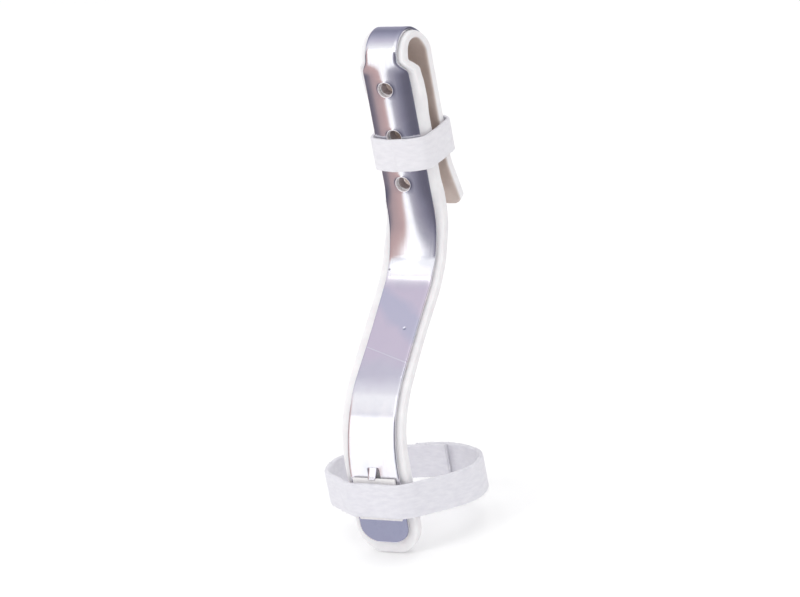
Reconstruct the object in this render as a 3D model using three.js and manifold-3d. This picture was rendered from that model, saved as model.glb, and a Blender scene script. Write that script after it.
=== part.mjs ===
// Finger splint: a bent aluminium strip lined with foam, with a finger strap and a wrist strap.
// Millimetres. X is across the strip, -Y is the palm side, +Z runs from the wrist to the fingertip.
// The origin is the middle of the wrist, at the middle of the wrist strap's width.

import * as THREE from "three";
import { mergeVertices } from "three/addons/utils/BufferGeometryUtils.js";
import Module from "manifold-3d";

const wasm = await Module();
wasm.setup();

// Strip and lining
const METAL_WIDTH = 20;
const METAL_THICKNESS = 1.2;
const FOAM_THICKNESS = 4.2;
const FOAM_MARGIN = 2.7;
const FOAM_END_MARGIN = 5;
const FREE_END_MARGIN = 1.2;
const CLEARANCE = 0.3;

// Side profile, from the forearm end to the free end behind the finger
const FOREARM_LENGTH = 26;
const WRIST_BEND_RADIUS = 40;
const WRIST_ANGLE = 54;
const PALM_LENGTH = 37;
const KNUCKLE_BEND_RADIUS = 29;
const FINGER_LENGTH = 59.4;
const LOOP_RADIUS = 9.9;
const DORSAL_LENGTH = 39.9;
const FLARE_BEND_RADIUS = 20;
const FLARE_ANGLE = 17;
const FLARE_LENGTH = 15;

// Finger trough, holes and ends of the strip
const TROUGH_RADIUS = 16;
const LIP_ANGLE = 60;
const HOLE_DIAMETER = 5.4;
const FOAM_HOLE_DIAMETER = 5;
const HOLE_SPACING = 18.4;
const FIRST_HOLE_BELOW_LOOP = 8.8;
const LOWER_END_ROUNDING = 6.5;
const FREE_END_ROUNDING = 1.6;

// Raised tang above the wrist strap
const TANG_WIDTH = 3.6;
const TANG_SLOT_LENGTH = 4.4;
const TANG_THICKNESS = 0.8;
const TANG_REACH = 4;
const TANG_ROOT = 1;
const TANG_LIFT = 2;
const TANG_SLOT_WIDTH = 4.6;
const TANG_ABOVE_STRAP = 3.2;
const TANG_BEND_SHARE = 0.4;

// Straps
const WRIST_STRAP_WIDTH = 13.4;
const WRIST_STRAP_THICKNESS = 2;
const WRIST_STRAP_ABOVE_END = 18;
const WRIST_STRAP_TILT = 8.5;
const WRIST_TURN = 14;
const WRIST_WIDTH = 53.6;
const WRIST_OFFSET = -1.7;
const WRIST_DEPTH = 38;
const WRIST_SQUARENESS = 2.5;
const WRIST_OVERLAP = 12;
const FINGER_STRAP_WIDTH = 12.6;
const FINGER_STRAP_THICKNESS = 1.2;
const FINGER_STRAP_BELOW_LOOP = 34;
const PATCH_WIDTH = 17.5;
const PATCH_HEIGHT = 16.8;
const PATCH_THICKNESS = 0.9;

const radians = THREE.MathUtils.degToRad;

// The side profile as straight and curved stretches, in order along the strip.
const STRETCHES = [
  { name: "forearm", length: FOREARM_LENGTH, turn: 0 },
  { name: "wrist", length: WRIST_BEND_RADIUS * radians(WRIST_ANGLE), turn: WRIST_ANGLE },
  { name: "palm", length: PALM_LENGTH, turn: 0 },
  { name: "knuckle", length: KNUCKLE_BEND_RADIUS * radians(WRIST_ANGLE), turn: -WRIST_ANGLE },
  { name: "finger", length: FINGER_LENGTH, turn: 0 },
  { name: "loop", length: LOOP_RADIUS * Math.PI, turn: 180 },
  { name: "dorsal", length: DORSAL_LENGTH, turn: 0 },
  { name: "flare", length: FLARE_BEND_RADIUS * radians(FLARE_ANGLE), turn: -FLARE_ANGLE },
  { name: "tip", length: FLARE_LENGTH, turn: 0 },
];

let travelled = 0;
for (const stretch of STRETCHES) {
  stretch.start = travelled;
  travelled += stretch.length;
}
const STRIP_LENGTH = travelled;

function distanceTo(name, share) {
  const stretch = STRETCHES.find((one) => one.name === name);
  return stretch.start + share * stretch.length;
}

// Across the strip: its width as a share of METAL_WIDTH, the foam that shows past its edges as a share
// of FOAM_MARGIN, how far the full trough is formed, how far the foam's edges are turned back, and the
// foam's thickness as a share of FOAM_THICKNESS, which is less where it is drawn over the fingertip and
// pressed by the palm, and how far the foam lies aside of the metal's middle line as a share of FOAM_MARGIN.
const SECTIONS = [
  { at: "forearm", share: 0, width: 1, foam: 1, trough: 0, lip: 0, thick: 1, aside: 0 },
  { at: "forearm", share: 1, width: 1, foam: 1, trough: 0, lip: 0, thick: 1, aside: 0 },
  { at: "wrist", share: 0.6, width: 0.96, foam: 1.12, trough: 0, lip: 0, thick: 0.85, aside: -0.22 },
  { at: "palm", share: 0.5, width: 0.92, foam: 1.24, trough: 0, lip: 0, thick: 0.7, aside: -0.33 },
  { at: "knuckle", share: 0.45, width: 0.95, foam: 1.15, trough: 0, lip: 0, thick: 0.8, aside: -0.22 },
  { at: "finger", share: 0.06, width: 0.97, foam: 1.1, trough: 0.75, lip: 0.4, thick: 1, aside: 0 },
  { at: "finger", share: 0.22, width: 0.94, foam: 1.2, trough: 1, lip: 1, thick: 1, aside: 0 },
  { at: "finger", share: 0.62, width: 0.94, foam: 1.2, trough: 1, lip: 1, thick: 1, aside: 0 },
  { at: "finger", share: 0.84, width: 0.94, foam: 1.2, trough: 1, lip: 0.25, thick: 1, aside: 0 },
  { at: "finger", share: 0.94, width: 0.93, foam: 1.1, trough: 0.95, lip: 0.1, thick: 1, aside: 0 },
  { at: "loop", share: 0.07, width: 0.64, foam: 0.9, trough: 0, lip: 0, thick: 1.05, aside: 0 },
  { at: "loop", share: 0.4, width: 0.64, foam: 0.9, trough: 0, lip: 0, thick: 0.68, aside: 0 },
  { at: "loop", share: 0.64, width: 0.64, foam: 0.98, trough: 0, lip: 0, thick: 0.68, aside: 0 },
  { at: "loop", share: 1, width: 0.85, foam: 0.74, trough: 0, lip: 0, thick: 1, aside: 0 },
  { at: "tip", share: 1, width: 0.85, foam: 0.74, trough: 0, lip: 0, thick: 1, aside: 0 },
];
for (const row of SECTIONS) row.distance = distanceTo(row.at, row.share);

function sectionAt(distance) {
  let next = SECTIONS.findIndex((row) => row.distance > distance);
  if (next === -1) next = SECTIONS.length - 1;
  const after = SECTIONS[Math.max(next, 1)];
  const before = SECTIONS[Math.max(next, 1) - 1];
  const share = THREE.MathUtils.smoothstep(distance, before.distance, after.distance);
  const section = {};
  for (const column of ["width", "foam", "trough", "lip", "thick", "aside"]) {
    section[column] = THREE.MathUtils.lerp(before[column], after[column], share);
  }
  return section;
}

// Place, direction and inward normal on the metal's inner face, at a distance along the strip.
const METAL_BACK = -WRIST_DEPTH / 2 - FOAM_THICKNESS - CLEARANCE;
function spineAt(distance) {
  let y = METAL_BACK;
  let z = -WRIST_STRAP_ABOVE_END;
  let angle = 0;
  for (const stretch of STRETCHES) {
    const last = stretch.name === "tip";
    const part = distance - stretch.start;
    if (part <= 0 && stretch.name !== "forearm") break;
    const run = last || part < stretch.length ? part : stretch.length;
    const turn = radians(stretch.turn) * (run / stretch.length);
    if (stretch.turn === 0) {
      y += run * Math.sin(angle);
      z += run * Math.cos(angle);
    } else {
      const radius = run / turn;
      y += radius * (Math.cos(angle) - Math.cos(angle + turn));
      z += radius * (Math.sin(angle + turn) - Math.sin(angle));
    }
    angle += turn;
  }
  return {
    point: new THREE.Vector3(0, y, z),
    along: new THREE.Vector3(0, Math.sin(angle), Math.cos(angle)),
    inward: new THREE.Vector3(0, Math.cos(angle), -Math.sin(angle)),
  };
}

// A point of the metal: across is measured along the section, depth inwards from its inner face.
function metalPoint(distance, across, depth) {
  const spine = spineAt(distance);
  const bend = sectionAt(distance).trough / TROUGH_RADIUS;
  let x = across;
  let inward = depth;
  if (bend > 0) {
    const radius = 1 / bend;
    x = (radius - depth) * Math.sin(across * bend);
    inward = radius - (radius - depth) * Math.cos(across * bend);
  }
  return spine.point.clone().addScaledVector(spine.inward, inward).setX(x);
}

// A point of the foam: it follows the metal, and past the metal's edges it turns back as a lip.
function foamPoint(distance, across, depth) {
  const section = sectionAt(distance);
  const edge = (section.width * METAL_WIDTH) / 2;
  const onMetal = THREE.MathUtils.clamp(across, -edge, edge);
  const overhang = Math.abs(across) - Math.abs(onMetal);
  const lip = radians(LIP_ANGLE * section.lip);
  const point = metalPoint(distance, onMetal, CLEARANCE);
  point.x += section.aside * FOAM_MARGIN + Math.sign(across) * overhang * Math.cos(lip);
  const inward = overhang * Math.sin(lip) + depth - CLEARANCE;
  return point.addScaledVector(spineAt(distance).inward, inward);
}

// A closed sheet between two faces, over a grid of stations along and columns across.
function sheetGeometry(stations, columns, place) {
  const vertices = [];
  const triangles = [];
  const wide = columns + 1;
  for (const face of [0, 1]) {
    for (const station of stations) {
      for (let column = 0; column < wide; column += 1) {
        const across = station.half * ((2 * column) / columns - 1);
        const point = place(station.distance, across, face);
        vertices.push(point.x, point.y, point.z);
      }
    }
  }
  const inner = stations.length * wide;
  const quad = (a, b, c, d) => triangles.push(a, b, c, a, c, d);
  for (let row = 0; row < stations.length - 1; row += 1) {
    for (let column = 0; column < columns; column += 1) {
      const a = row * wide + column;
      quad(a, a + 1, a + wide + 1, a + wide);
      quad(inner + a, inner + a + wide, inner + a + wide + 1, inner + a + 1);
    }
    const left = row * wide;
    const right = left + columns;
    quad(left, left + wide, inner + left + wide, inner + left);
    quad(right, inner + right, inner + right + wide, right + wide);
  }
  const top = (stations.length - 1) * wide;
  for (let column = 0; column < columns; column += 1) {
    quad(column, inner + column, inner + column + 1, column + 1);
    quad(top + column, top + column + 1, inner + top + column + 1, inner + top + column);
  }
  const geometry = new THREE.BufferGeometry();
  geometry.setAttribute("position", new THREE.Float32BufferAttribute(vertices, 3));
  geometry.setIndex(triangles);
  return geometry;
}

// Steps along each stretch, closer where the profile curves or the width changes.
const STEPS = {
  forearm: 4,
  wrist: 8,
  palm: 4,
  knuckle: 8,
  finger: 16,
  loop: 14,
  dorsal: 4,
  flare: 3,
  tip: 2,
};
const END_STEPS = 5;
const SMALLEST_STEP = 0.5;

// Stations of a strip whose half width is given, with rounded corners at both ends.
function stationsOf(from, to, halfAt, startRounding, endRounding) {
  const distances = [];
  for (let step = 0; step <= END_STEPS; step += 1) {
    const corner = 1 - Math.cos((step / END_STEPS) * (Math.PI / 2));
    distances.push(from + startRounding * corner, to - endRounding * corner);
  }
  for (const stretch of STRETCHES) {
    for (let step = 0; step < STEPS[stretch.name]; step += 1) {
      const distance = stretch.start + (step / STEPS[stretch.name]) * stretch.length;
      const clearOfStart = distance > from + startRounding + SMALLEST_STEP;
      if (clearOfStart && distance < to - endRounding - SMALLEST_STEP) distances.push(distance);
    }
  }
  distances.sort((a, b) => a - b);
  return distances.map((distance) => {
    const half = halfAt(distance);
    const start = cornerInset(distance - from, startRounding, half);
    const end = cornerInset(to - distance, endRounding, half);
    return { distance, half: half - Math.max(start, end) };
  });
}

// How far a rounded corner pulls the edge in; the flat middle of the end keeps a fifth of the width.
const FLAT_END_SHARE = 0.2;
const CORNER_WIDTH_SHARE = 1.6;
function cornerInset(fromEnd, rounding, half) {
  if (fromEnd >= rounding) return 0;
  const rise = Math.sqrt(1 - (1 - fromEnd / rounding) ** 2);
  const inset = Math.min(half * (1 - FLAT_END_SHARE), rounding * CORNER_WIDTH_SHARE);
  return inset * (1 - rise);
}

const WELD_DISTANCE = 0.0005;
function solidOf(geometry) {
  const bare = geometry.index ? geometry.clone() : geometry;
  bare.deleteAttribute("normal");
  bare.deleteAttribute("uv");
  const merged = mergeVertices(bare, WELD_DISTANCE);
  return new wasm.Manifold(
    new wasm.Mesh({
      numProp: 3,
      vertProperties: new Float32Array(merged.attributes.position.array),
      triVerts: new Uint32Array(merged.index.array),
    }),
  );
}

function geometryOf(solid) {
  const mesh = solid.getMesh();
  const geometry = new THREE.BufferGeometry();
  geometry.setAttribute("position", new THREE.BufferAttribute(mesh.vertProperties, 3));
  geometry.setIndex(new THREE.BufferAttribute(mesh.triVerts, 1));
  geometry.computeVertexNormals();
  return geometry;
}

// Round holes on the centre line of the finger stretch, through metal or foam.
const HOLE_COUNT = 3;
const HOLE_SIDES = 20;
const CUTTER_REACH = METAL_THICKNESS + FOAM_THICKNESS + CLEARANCE;
function holeCutters(diameter) {
  const cutters = [];
  for (let index = 0; index < HOLE_COUNT; index += 1) {
    const spine = spineAt(distanceTo("finger", 1) - FIRST_HOLE_BELOW_LOOP - index * HOLE_SPACING);
    const cylinder = new THREE.CylinderGeometry(diameter / 2, diameter / 2, 2 * CUTTER_REACH, HOLE_SIDES);
    const turn = new THREE.Quaternion().setFromUnitVectors(new THREE.Vector3(0, 1, 0), spine.inward);
    cylinder.applyQuaternion(turn).translate(0, spine.point.y, spine.point.z);
    cutters.push(solidOf(cylinder));
  }
  return cutters;
}

// The tang is cut from the strip above the wrist strap, lifted at its lower end.
const TANG_DISTANCE = WRIST_STRAP_ABOVE_END + WRIST_STRAP_WIDTH / 2 + TANG_ABOVE_STRAP;
function tangSlot() {
  const slot = new THREE.BoxGeometry(TANG_SLOT_WIDTH, 2 * CUTTER_REACH, TANG_SLOT_LENGTH);
  const spine = spineAt(TANG_DISTANCE);
  return solidOf(slot.translate(0, spine.point.y, spine.point.z));
}

function tangSolid() {
  const root = spineAt(TANG_DISTANCE + TANG_SLOT_LENGTH / 2);
  const outline = new THREE.Shape();
  const bendFrom = -TANG_REACH * TANG_BEND_SHARE;
  outline.moveTo(TANG_ROOT, 0);
  outline.lineTo(TANG_ROOT, TANG_THICKNESS);
  outline.lineTo(0, TANG_THICKNESS);
  outline.quadraticCurveTo(bendFrom, TANG_THICKNESS, -TANG_REACH, TANG_THICKNESS + TANG_LIFT);
  outline.lineTo(-TANG_REACH, TANG_LIFT);
  outline.quadraticCurveTo(bendFrom, 0, 0, 0);
  outline.closePath();
  const settings = { depth: TANG_WIDTH, bevelEnabled: false, curveSegments: 5 };
  const tang = new THREE.ExtrudeGeometry(outline, settings);
  // The outline's first axis becomes up the strip, and its second one outwards.
  const across = new THREE.Vector3(1, 0, 0);
  const up = root.along.clone();
  const outwards = root.inward.clone().negate();
  const basis = new THREE.Matrix4().makeBasis(up, outwards, across);
  tang.applyMatrix4(basis);
  const seat = root.point.clone().addScaledVector(outwards, (METAL_THICKNESS - TANG_THICKNESS) / 2);
  return solidOf(tang.translate(-TANG_WIDTH / 2, seat.y, seat.z));
}

function metalHalf(distance) {
  return (sectionAt(distance).width * METAL_WIDTH) / 2;
}

function foamHalf(distance) {
  return metalHalf(distance) + sectionAt(distance).foam * FOAM_MARGIN;
}

const METAL_COLUMNS = 8;
const FOAM_COLUMNS = 12;
function stripGeometry() {
  const stations = stationsOf(0, STRIP_LENGTH, metalHalf, LOWER_END_ROUNDING, FREE_END_ROUNDING);
  const place = (distance, across, face) => metalPoint(distance, across, face === 0 ? -METAL_THICKNESS : 0);
  let strip = solidOf(sheetGeometry(stations, METAL_COLUMNS, place));
  for (const cutter of holeCutters(HOLE_DIAMETER)) strip = strip.subtract(cutter);
  return geometryOf(strip.subtract(tangSlot()).add(tangSolid()));
}

function foamGeometry() {
  const stations = stationsOf(
    -FOAM_END_MARGIN,
    STRIP_LENGTH + FREE_END_MARGIN,
    foamHalf,
    LOWER_END_ROUNDING + FOAM_END_MARGIN,
    FREE_END_ROUNDING + FREE_END_MARGIN,
  );
  const place = (distance, across, face) =>
    foamPoint(distance, across, CLEARANCE + (face === 0 ? 0 : sectionAt(distance).thick * FOAM_THICKNESS));
  let foam = solidOf(sheetGeometry(stations, FOAM_COLUMNS, place));
  for (const cutter of holeCutters(FOAM_HOLE_DIAMETER)) foam = foam.subtract(cutter);
  return geometryOf(foam);
}

// A strap: a flat band along a path seen from above, open or closed, at one height.
function bandGeometry(path, thickness, width, height, closed) {
  const vertices = [];
  const triangles = [];
  const count = path.length;
  path.forEach((point, index) => {
    const before = path[closed ? (index + count - 1) % count : Math.max(index - 1, 0)];
    const after = path[closed ? (index + 1) % count : Math.min(index + 1, count - 1)];
    const outward = new THREE.Vector2(after.y - before.y, before.x - after.x).normalize();
    for (const [out, up] of [[0, -1], [1, -1], [1, 1], [0, 1]]) {
      vertices.push(point.x + outward.x * thickness * out, point.y + outward.y * thickness * out);
      vertices.push(height + (up * width) / 2);
    }
  });
  const spans = closed ? count : count - 1;
  for (let index = 0; index < spans; index += 1) {
    const here = index * 4;
    const there = ((index + 1) % count) * 4;
    for (let corner = 0; corner < 4; corner += 1) {
      const next = (corner + 1) % 4;
      triangles.push(here + corner, there + corner, there + next, here + corner, there + next, here + next);
    }
  }
  if (!closed) {
    const end = (count - 1) * 4;
    triangles.push(0, 1, 2, 0, 2, 3, end, end + 2, end + 1, end, end + 3, end + 2);
  }
  const geometry = new THREE.BufferGeometry();
  geometry.setAttribute("position", new THREE.Float32BufferAttribute(vertices, 3));
  geometry.setIndex(triangles);
  geometry.computeVertexNormals();
  return geometry;
}

// The way a strap takes when it is drawn tight round some corners, seen from above: their convex
// outline, rounded and a clearance away from them. It starts in front of the middle and runs to +X.
const STRAP_ROUNDING = 0.5;
const OUTLINE_STEPS = 120;
function tightCurve(corners, middle) {
  const outline = [];
  for (let step = 0; step < OUTLINE_STEPS; step += 1) {
    const angle = (step / OUTLINE_STEPS) * 2 * Math.PI;
    const outward = new THREE.Vector3(Math.sin(angle), -Math.cos(angle), 0);
    const reaches = corners.map((corner) => corner.clone().sub(middle).dot(outward));
    const farthest = Math.max(...reaches);
    const point = new THREE.Vector3();
    let total = 0;
    corners.forEach((corner, index) => {
      const share = Math.exp((reaches[index] - farthest) / STRAP_ROUNDING);
      point.addScaledVector(corner, share);
      total += share;
    });
    point.divideScalar(total).setZ(0);
    outline.push(point.addScaledVector(outward, CLEARANCE + STRAP_ROUNDING));
  }
  return new THREE.CatmullRomCurve3(outline, true, "centripetal");
}

// The wrist strap runs once round the wrist and the splint, and its ends lap behind the wrist.
const PATCH_FRONT = METAL_BACK - METAL_THICKNESS - CLEARANCE - PATCH_THICKNESS;
const WRIST_STRAP_STEPS = 72;
const WRIST_CORNERS = 36;
const LAP_RISE = 14;
function wristStrapGeometry() {
  const corners = [];
  const upright = new THREE.Vector3(0, 0, 1);
  const rounded = (value) => Math.sign(value) * Math.abs(value) ** (2 / WRIST_SQUARENESS);
  for (let step = 0; step < WRIST_CORNERS; step += 1) {
    const angle = (step / WRIST_CORNERS) * 2 * Math.PI;
    const aside = (WRIST_WIDTH / 2) * rounded(Math.cos(angle));
    const corner = new THREE.Vector3(aside, (WRIST_DEPTH / 2) * rounded(Math.sin(angle)), 0);
    corner.applyAxisAngle(upright, radians(WRIST_TURN));
    corners.push(corner.setX(corner.x + WRIST_OFFSET));
  }
  for (const side of [-1, 0, 1]) {
    corners.push(new THREE.Vector3((side * PATCH_WIDTH) / 2, PATCH_FRONT, 0));
    corners.push(new THREE.Vector3((side * METAL_WIDTH) / 2, METAL_BACK - METAL_THICKNESS, 0));
    corners.push(new THREE.Vector3(side * foamHalf(WRIST_STRAP_ABOVE_END), METAL_BACK + CLEARANCE, 0));
  }
  const curve = tightCurve(corners, new THREE.Vector3());
  const length = curve.getLength();
  const start = (length - WRIST_OVERLAP) / 2;
  const end = length + start + WRIST_OVERLAP;
  const lift = WRIST_STRAP_THICKNESS + CLEARANCE;
  const path = [];
  for (let step = 0; step <= WRIST_STRAP_STEPS; step += 1) {
    const along = THREE.MathUtils.lerp(start, end, step / WRIST_STRAP_STEPS);
    const share = (along / length) % 1;
    const tangent = curve.getTangentAt(share);
    const out = lift * THREE.MathUtils.smoothstep(along, length + start - LAP_RISE, length + start);
    const outward = new THREE.Vector3(tangent.y, -tangent.x, 0);
    path.push(curve.getPointAt(share).addScaledVector(outward, out));
  }
  const band = bandGeometry(path, WRIST_STRAP_THICKNESS, WRIST_STRAP_WIDTH, 0, false);
  const tilt = Math.tan(radians(WRIST_STRAP_TILT));
  const places = band.attributes.position;
  for (let index = 0; index < places.count; index += 1) {
    places.setZ(index, places.getZ(index) - tilt * (places.getY(index) - PATCH_FRONT));
  }
  return band;
}

// The finger strap is drawn tight round the trough, the foam's lips and the leg behind the finger.
const FINGER_STRAP_STEPS = 56;
const TROUGH_CORNERS = 8;
function fingerStrapGeometry() {
  const distance = distanceTo("finger", 1) - FINGER_STRAP_BELOW_LOOP;
  const behind = distanceTo("dorsal", 1);
  const corners = [];
  for (let step = 0; step <= TROUGH_CORNERS; step += 1) {
    const across = metalHalf(distance) * ((2 * step) / TROUGH_CORNERS - 1);
    corners.push(metalPoint(distance, across, -METAL_THICKNESS));
  }
  for (const side of [-1, 1]) {
    corners.push(foamPoint(distance, side * foamHalf(distance), CLEARANCE + FOAM_THICKNESS));
    corners.push(foamPoint(distance, side * foamHalf(distance), CLEARANCE));
    corners.push(foamPoint(behind, side * foamHalf(behind), CLEARANCE));
    corners.push(metalPoint(behind, side * metalHalf(behind), -METAL_THICKNESS));
  }
  const spine = spineAt(distance).point;
  const middle = new THREE.Vector3(0, spine.y + LOOP_RADIUS, 0);
  const path = tightCurve(corners, middle).getSpacedPoints(FINGER_STRAP_STEPS).slice(0, -1);
  return bandGeometry(path, FINGER_STRAP_THICKNESS, FINGER_STRAP_WIDTH, spine.z, true);
}

// A thin patch on the metal under the wrist strap, which the strap grips.
function patchGeometry() {
  const patch = new THREE.BoxGeometry(PATCH_WIDTH, PATCH_THICKNESS, PATCH_HEIGHT);
  return patch.translate(0, METAL_BACK - METAL_THICKNESS - CLEARANCE - PATCH_THICKNESS / 2, 0);
}

const aluminium = new THREE.MeshStandardMaterial({ color: "#b9b9c3", roughness: 0.28, metalness: 1 });
const foam = new THREE.MeshStandardMaterial({ color: "#f4f1f2", roughness: 0.95, metalness: 0 });
const fingerStrap = new THREE.MeshStandardMaterial({ color: "#efedf2", roughness: 0.9, metalness: 0 });
const wristStrap = new THREE.MeshStandardMaterial({ color: "#ebe9f1", roughness: 0.9, metalness: 0 });
const hookPatch = new THREE.MeshStandardMaterial({ color: "#e9e5df", roughness: 0.8, metalness: 0 });

const PIECES = [
  ["splint_strip", stripGeometry(), aluminium],
  ["foam_lining", foamGeometry(), foam],
  ["finger_strap", fingerStrapGeometry(), fingerStrap],
  ["wrist_strap", wristStrapGeometry(), wristStrap],
  ["hook_patch", patchGeometry(), hookPatch],
];

const splint = new THREE.Group();
for (const [name, geometry, material] of PIECES) {
  const piece = new THREE.Mesh(geometry, material);
  piece.name = name;
  splint.add(piece);
}

export default splint;
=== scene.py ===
"""Finger splint: its looks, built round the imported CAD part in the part's own frame."""

import math

import bmesh
import bpy
import numpy as np
from mathutils import Matrix, Vector


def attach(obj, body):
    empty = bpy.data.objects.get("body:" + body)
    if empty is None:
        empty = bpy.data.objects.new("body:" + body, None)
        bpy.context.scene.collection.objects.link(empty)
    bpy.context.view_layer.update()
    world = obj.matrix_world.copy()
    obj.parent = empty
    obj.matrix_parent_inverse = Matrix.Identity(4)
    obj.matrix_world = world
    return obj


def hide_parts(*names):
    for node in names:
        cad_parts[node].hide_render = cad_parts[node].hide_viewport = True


MM = 0.001

# Camera: the photograph's viewing angle. Lengths here and below are in millimetres
AZIMUTH, ELEVATION, ROLL = math.radians(31), math.radians(20), math.radians(10.8)
DISTANCE, MM_PER_PIXEL, SENSOR = 1300, 0.362, 36
IMAGE_WIDTH, IMAGE_HEIGHT = 800, 597
ANCHOR, ANCHOR_PIXEL = np.array((0, -24.7, 0.6)), np.array((378.3, 497.5))
MIDDLE = np.array((0, 10, 90))
NEAREST, FARTHEST = 50, 20000


def make_camera():
    """The camera stands in its direction from MIDDLE, turned by ROLL, and is aimed so that ANCHOR, on the part,
    falls on ANCHOR_PIXEL."""
    toward = np.array((math.sin(AZIMUTH) * math.cos(ELEVATION), -math.cos(AZIMUTH) * math.cos(ELEVATION),
                       math.sin(ELEVATION)))
    level = np.array((math.cos(AZIMUTH), math.sin(AZIMUTH), 0))
    up = np.cross(toward, level)
    right = math.cos(ROLL) * level - math.sin(ROLL) * up
    top = math.sin(ROLL) * level + math.cos(ROLL) * up
    stand = MIDDLE + toward * DISTANCE
    aside = ANCHOR_PIXEL - (IMAGE_WIDTH / 2, IMAGE_HEIGHT / 2)
    target = ANCHOR - right * aside[0] * MM_PER_PIXEL + top * aside[1] * MM_PER_PIXEL
    toward = (stand - target) / np.linalg.norm(stand - target)
    right = np.cross(top, toward)
    right /= np.linalg.norm(right)
    top = np.cross(toward, right)
    camera = bpy.data.objects.new("camera", bpy.data.cameras.new("camera"))
    bpy.context.scene.collection.objects.link(camera)
    camera.data.sensor_width = SENSOR
    camera.data.lens = DISTANCE * SENSOR / (IMAGE_WIDTH * MM_PER_PIXEL)
    camera.data.clip_start, camera.data.clip_end = NEAREST * MM, FARTHEST * MM
    place = Matrix([(*row, 0) for row in np.array((right, top, toward)).T] + [(0, 0, 0, 1)])
    place.translation = Vector(stand * MM)
    camera.matrix_world = place
    bpy.context.scene.camera = camera


make_camera()
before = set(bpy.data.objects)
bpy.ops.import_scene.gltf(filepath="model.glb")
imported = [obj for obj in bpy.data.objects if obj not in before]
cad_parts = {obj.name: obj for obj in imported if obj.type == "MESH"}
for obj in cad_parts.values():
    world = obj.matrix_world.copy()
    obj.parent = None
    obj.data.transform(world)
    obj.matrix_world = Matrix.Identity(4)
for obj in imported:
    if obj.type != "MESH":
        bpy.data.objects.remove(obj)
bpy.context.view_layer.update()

# Sizes of the part, in millimetres, as its solids have them
METAL_WIDTH, METAL_THICKNESS = 20, 1.2
FOAM_THICKNESS, FOAM_MARGIN, FOAM_END_MARGIN, FREE_END_MARGIN = 4.2, 2.7, 5, 1.2
CLEARANCE = 0.3
TROUGH_RADIUS, LIP_ANGLE = 16, 60
LOOP_RADIUS = 9.9
HOLE_RADIUS, FOAM_HOLE_RADIUS = 2.7, 2.5
HOLE_SPACING, FIRST_HOLE_BELOW_LOOP, HOLE_COUNT = 18.4, 8.8, 3
FOREARM_LENGTH, PALM_LENGTH, FINGER_LENGTH, DORSAL_LENGTH, TIP_LENGTH = 26, 37, 59.4, 39.9, 15
WRIST_BEND_RADIUS, KNUCKLE_BEND_RADIUS, PALM_ANGLE = 40, 29, 54
FLARE_RADIUS, FLARE_ANGLE = 20, 17
LOWER_END_ROUNDING, FREE_END_ROUNDING, FLAT_END_SHARE = 6.5, 1.6, 0.2
TANG_SLOT_LENGTH, TANG_SLOT_WIDTH, TANG_ABOVE_STRAP = 4.4, 4.6, 3.2
TANG_WIDTH, TANG_THICKNESS, TANG_REACH, TANG_LIFT = 3.6, 0.8, 4, 2
WRIST_STRAP_WIDTH, WRIST_STRAP_THICKNESS, WRIST_STRAP_ABOVE_END, WRIST_STRAP_TILT = 13.4, 2, 18, 8.5
WRIST_TURN, WRIST_WIDTH, WRIST_OFFSET, WRIST_DEPTH, WRIST_SQUARENESS = 14, 53.6, -1.7, 38, 2.5
WRIST_OVERLAP, LAP_RISE = 12, 14
FINGER_STRAP_WIDTH, FINGER_STRAP_THICKNESS, FINGER_STRAP_BELOW_LOOP = 12.6, 1.2, 34
PATCH_WIDTH, PATCH_HEIGHT, PATCH_THICKNESS = 17.5, 16.8, 0.9
STRAP_ROUNDING = 0.5
METAL_BACK = -WRIST_DEPTH / 2 - FOAM_THICKNESS - CLEARANCE
PATCH_FRONT = METAL_BACK - METAL_THICKNESS - CLEARANCE - PATCH_THICKNESS

# The side profile: each stretch's length and the angle it turns
STRETCHES = [
    ("forearm", FOREARM_LENGTH, 0),
    ("wrist", WRIST_BEND_RADIUS * math.radians(PALM_ANGLE), PALM_ANGLE),
    ("palm", PALM_LENGTH, 0),
    ("knuckle", KNUCKLE_BEND_RADIUS * math.radians(PALM_ANGLE), -PALM_ANGLE),
    ("finger", FINGER_LENGTH, 0),
    ("loop", LOOP_RADIUS * math.pi, 180),
    ("dorsal", DORSAL_LENGTH, 0),
    ("flare", FLARE_RADIUS * math.radians(FLARE_ANGLE), -FLARE_ANGLE),
    ("tip", TIP_LENGTH, 0),
]
START = dict(zip([s[0] for s in STRETCHES], np.cumsum([0] + [s[1] for s in STRETCHES[:-1]])))
LENGTH = {name: length for name, length, _ in STRETCHES}
STRIP_LENGTH = sum(LENGTH.values())


def distance_to(name, share):
    """The distance along the strip to a share of one of its stretches."""
    return START[name] + share * LENGTH[name]


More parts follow.
